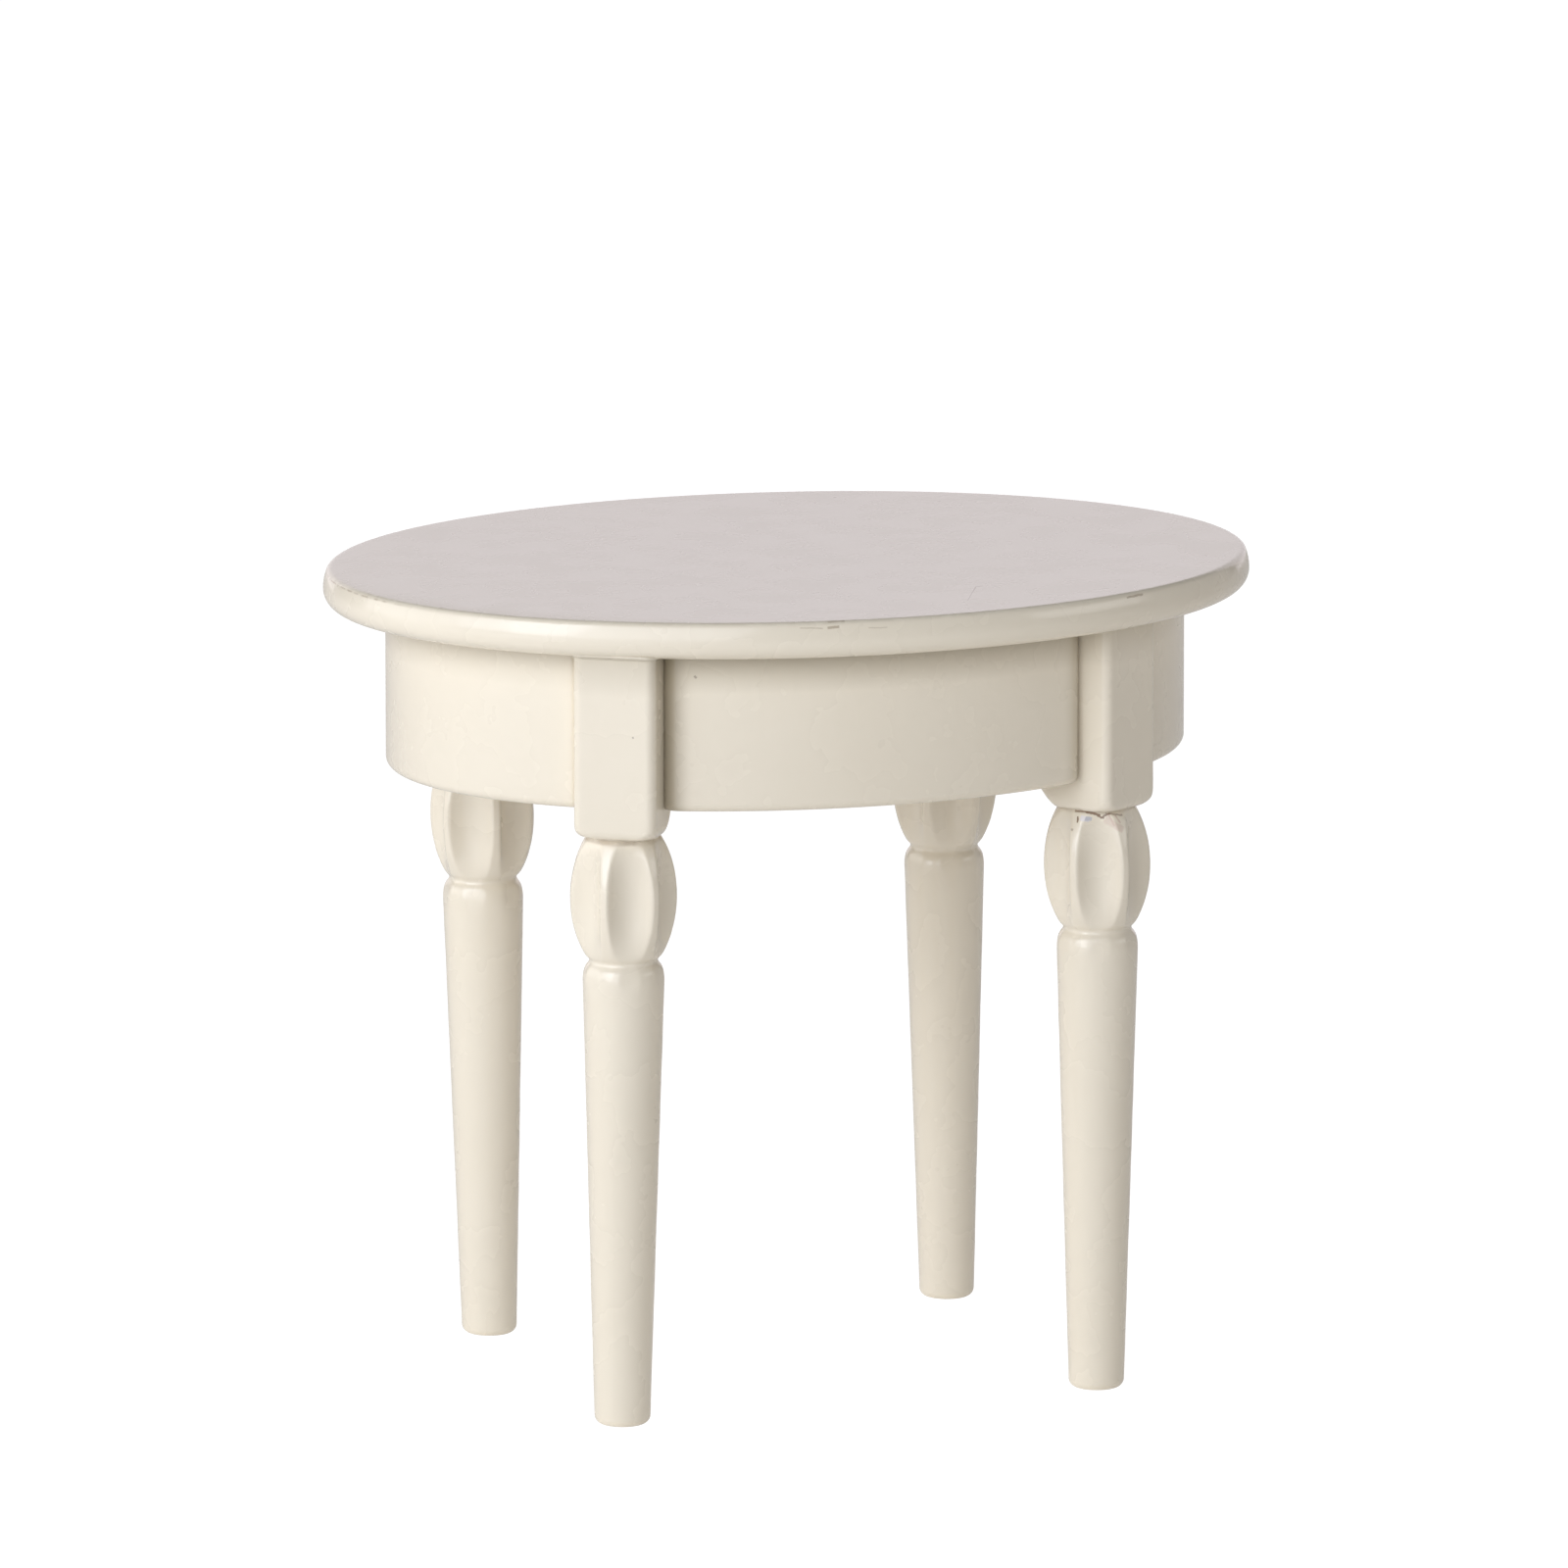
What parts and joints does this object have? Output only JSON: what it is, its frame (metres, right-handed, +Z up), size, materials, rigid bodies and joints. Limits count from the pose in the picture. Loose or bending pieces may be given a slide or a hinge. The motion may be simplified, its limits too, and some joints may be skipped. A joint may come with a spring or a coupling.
{
  "type": "miniature dining table",
  "caption": "Dolls-house dining table: an oval top on an oval apron let into upright corner blocks, on tapered turned legs with fluted bulbs.",
  "frame": {"origin": "on the floor, under the centre of the oval top", "axes": "+X along the oval's long axis, +Y across it towards the back, +Z up through the table top"},
  "size_m": [0.0862, 0.0652, 0.075],
  "materials": {
    "enamel": "glossy cream enamel over cast metal",
    "steel": "plain bright steel"
  },
  "bodies": {
    "root": {"tabletop": "enamel", "apron_front": "enamel", "apron_back": "enamel", "apron_left": "enamel", "apron_right": "enamel", "corner_block_front_left": "enamel", "corner_block_front_right": "enamel", "corner_block_back_left": "enamel", "corner_block_back_right": "enamel", "leg_front_left": "enamel", "leg_front_right": "enamel", "leg_back_left": "enamel", "leg_back_right": "enamel", "leg_studs": "steel", "rail_screws": "steel"}
  },
  "joints": []
}
